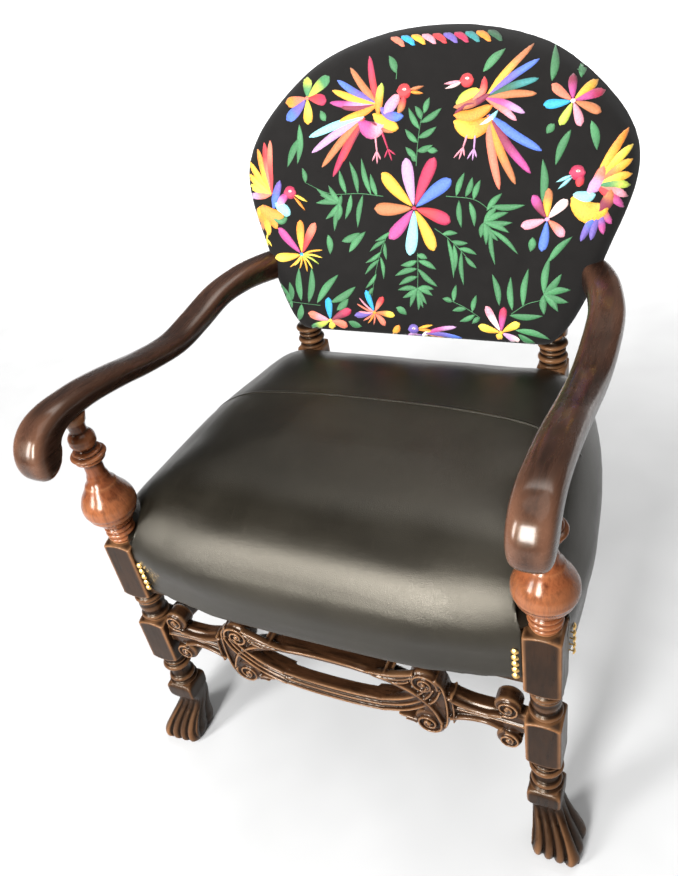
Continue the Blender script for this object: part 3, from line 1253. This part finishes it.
sprig("single_leaves", 14, "-24 916, -23 925, -22 934",
      "-112 674 -82 706, -124 690 -92 704, -148 700 -146 670, -186 844 -212 802, "
      "-186 862 -194 806, -24 924 -34 946, 104 918 134 944, 198 902 200 944, 236 904 242 930, "
      "226 842 208 798, 252 852 262 816, 192 750 190 806, 180 702 178 682, 204 850 194 838, "
      "-140 866 -148 880, -120 562 -96 556, -34 590 -16 580")
work = Stitching()
for i, dye in enumerate("coral sky gold pink red violet crimson teal orange moss".split()):
    x = -26 + 15.5 * i
    root, tip = (x - 4, 968 - abs(x) * 0.02), (x + 16, 957 - abs(x) * 0.03)
    work.petal(root, tip, 10, [dye], feather_form, 0.1)
work.build("top_feathers")


# ---- cloth under the seat and behind the back --------------------------------------

lining = weave("dust_cloth", (0.004, 0.004, 0.004), (0.02, 0.019, 0.018), 1.6)


def outer_cover():
    """The panel tacked over the back's rear, a little hollow between its edges."""
    outline = back_outline(220)
    rings = []
    insets = (205, 170, 130, 95, 65, 42, 27, 17, 12, 9.5, 8.5)
    edge, thickness = insets[-1], 1.3
    for outward, order in ((thickness, insets), (0, insets[::-1])):
        for inset in order:
            near_edge = max(0.0, 1 - (inset - edge) / 22)
            depth = 63.4 + 1.4 * min(1, (inset - edge) / 60) - 2.2 * near_edge ** 2 + outward
            rings.append([(x, back_point_y(h, depth), BACK_BOTTOM + h)
                          for x, h in drawn_in(outline, inset)])
    return Shape().add(rings[::-1])


made = outer_cover().build("back_outer_cloth", lining)
stand_in(made, "embroidered_fabric", "back_outer_cover")


def dust_cover():
    """Thin cloth tacked under the rails, sagging a little between them."""
    low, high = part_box("seat_dust_cover")
    low_y, high_y = low.y / MM - POST_LINE, high.y / MM - POST_LINE
    top, thickness = high.z / MM - 0.2, 1.2
    wide, narrow = high.x / MM - 1.5, REAR_X + 8
    columns, rows = 72, 60
    rings = []
    for j in range(rows + 1):
        v = j / rows
        y = low_y + 1 + (high_y - low_y - 2) * v
        half = np.interp(y, (low_y, 22, high_y), (wide, wide, narrow))
        upper = []
        for i in range(columns + 1):
            u = i / columns
            sag = 7 * (math.sin(math.pi * u) * math.sin(math.pi * v)) ** 0.7
            ripple = 0.6 * noise.noise((u * 9, v * 8, 3)) * min(1, sag)
            upper.append((half * (2 * u - 1), y, top - sag - ripple))
        rings.append(upper + [(x, y, z - thickness) for x, y, z in reversed(upper)])
    return Shape().add(rings)


made = dust_cover().build("dust_cloth_panel", lining)
stand_in(made, "dust_cloth", "seat_dust_cover")


# ---- seam across the seat ----------------------------------------------------------

seat_surface = BVHTree.FromObject(seat, bpy.context.evaluated_depsgraph_get())


def on_seat(x, y, proud):
    """A place on the seat, stood off along its normal."""
    start = Vector((x, y + POST_LINE, 620)) * MM
    spot, normal, _, _ = seat_surface.ray_cast(start, Vector((0, 0, -1)))
    spot = spot + normal * proud * MM
    return spot.x / MM, spot.y / MM - POST_LINE, spot.z / MM


def seat_seam():
    """A lapped seam: one edge of the leather turned under the other."""
    reach, middle, bow = 292, 286, 15
    lap = ((-2.6, -0.6), (-2.2, 0.25), (-0.8, 0.75), (0.8, 0.8), (2.0, 0.45), (3.4, 0.05),
           (3.8, -0.7), (0.6, -0.9))
    rings = []
    for x in np.linspace(reach, -reach, 200):
        y = middle - bow * (abs(x) / reach) ** 2
        rings.append([on_seat(x, y + dy, proud) for dy, proud in lap])
    return Shape().add(rings)


made = seat_seam().build("seat_seam", seat_leather)
stand_in(made, "black_leather")


# ---- finishes of the CAD nodes that stay ---------------------------------------------

hardwood = wood("frame_hardwood", (0.012, 0.006, 0.003), (0.035, 0.017, 0.008), COPPER, "x",
                wear=0.3, gloss=0.5, coat=0.0, handled=False)
FINISHES = {
    "dark_walnut": wood("dark_walnut_inside", DARK, BROWN, COPPER, "z", handled=False),
    "frame_hardwood": hardwood,
    "screw_steel": metal("screw_steel", (0.45, 0.44, 0.42), 0.35),
    "spring_steel": metal("spring_steel", (0.35, 0.33, 0.31), 0.4),
    "jute_webbing": weave("jute_webbing", (0.16, 0.10, 0.045), (0.42, 0.30, 0.15), 2.4),
    "burlap": weave("burlap", (0.2, 0.14, 0.07), (0.5, 0.39, 0.22), 1.8),
    "stuffing": weave("stuffing", (0.4, 0.36, 0.28), (0.62, 0.57, 0.47), 3.0),
    "black_leather": seat_leather,
    "dust_cloth": lining,
    "embroidered_fabric": back_cloth,
    "nail_brass": metal("nail_brass", (0.78, 0.50, 0.17), 0.24),
}
slot_of = {row["node"]: row["material_slot"] for row in frame["record"]["subparts"]}
for name, thing in frame["nodes"].items():
    finish = FINISHES[slot_of[name]]
    thing.data.materials.clear()
    thing.data.materials.append(finish)


# ---- floor, light and camera -------------------------------------------------------

floor_tone = Nodes("floor_tone")
speckle = floor_tone.noise(floor_tone.coordinates(), 5, 2)
paint = floor_tone.ramp(speckle, [(0.3, (0.35, 0.35, 0.35)), (0.7, (0.38, 0.38, 0.38))])
REACH = 14000
corners = [(-REACH, -REACH, 0), (REACH, -REACH, 0), (REACH, REACH, 0), (-REACH, REACH, 0)]
floor = make_object("floor", corners, [(0, 1, 2, 3)], floor_tone.finish(paint, 0.9), smooth=False)

world = bpy.data.worlds.new("studio")
bpy.context.scene.world = world
world.use_nodes = True
backdrop = world.node_tree.nodes["Background"]
backdrop.inputs["Color"].default_value = (1.0, 1.0, 1.0, 1)
backdrop.inputs["Strength"].default_value = 0.2
bpy.context.scene.view_settings.view_transform = "Standard"


def softbox(name, place, target, width, height, power, spread=180):
    """A rectangular light that faces a target, in metres and watts."""
    light = bpy.data.lights.new(name, "AREA")
    light.shape = "RECTANGLE"
    light.size, light.size_y = width, height
    light.energy = power
    light.spread = math.radians(spread)
    holder = bpy.data.objects.new(name, light)
    holder.location = place
    holder.rotation_euler = (Vector(target) - Vector(place)).to_track_quat("-Z", "Y").to_euler()
    bpy.context.scene.collection.objects.link(holder)


softbox("window_left", (-1.55, -2.35, 1.65), (0, 0, 0.45), 0.6, 1.5, 130)
softbox("window_right", (-0.2, -2.85, 1.75), (0, 0, 0.45), 0.7, 1.5, 240)
softbox("overhead", (0.6, -0.6, 3.4), (0, 0, 0.2), 2.4, 2.4, 40)
softbox("floor_wash", (-2.0, 7.5, 4.5), (-2.0, 7.5, 0), 19.0, 12.0, 3400, 84)

camera_data = bpy.data.cameras.new("camera")
camera_data.lens = 32.97
camera_data.sensor_width = 36
camera = bpy.data.objects.new("camera", camera_data)
# the camera's own axes: it stands to the right and looks down over the left front corner
right, up = Vector((0.9068, 0.3916, -0.1562)), Vector((-0.1202, 0.5953, 0.7946))
back_axis = right.cross(up).normalized()
right.normalize()
up = back_axis.cross(right)
turn = Matrix((right, up, back_axis)).transposed()
camera.matrix_world = Matrix.Translation(EYE) @ turn.to_4x4()
bpy.context.scene.collection.objects.link(camera)
bpy.context.scene.camera = camera
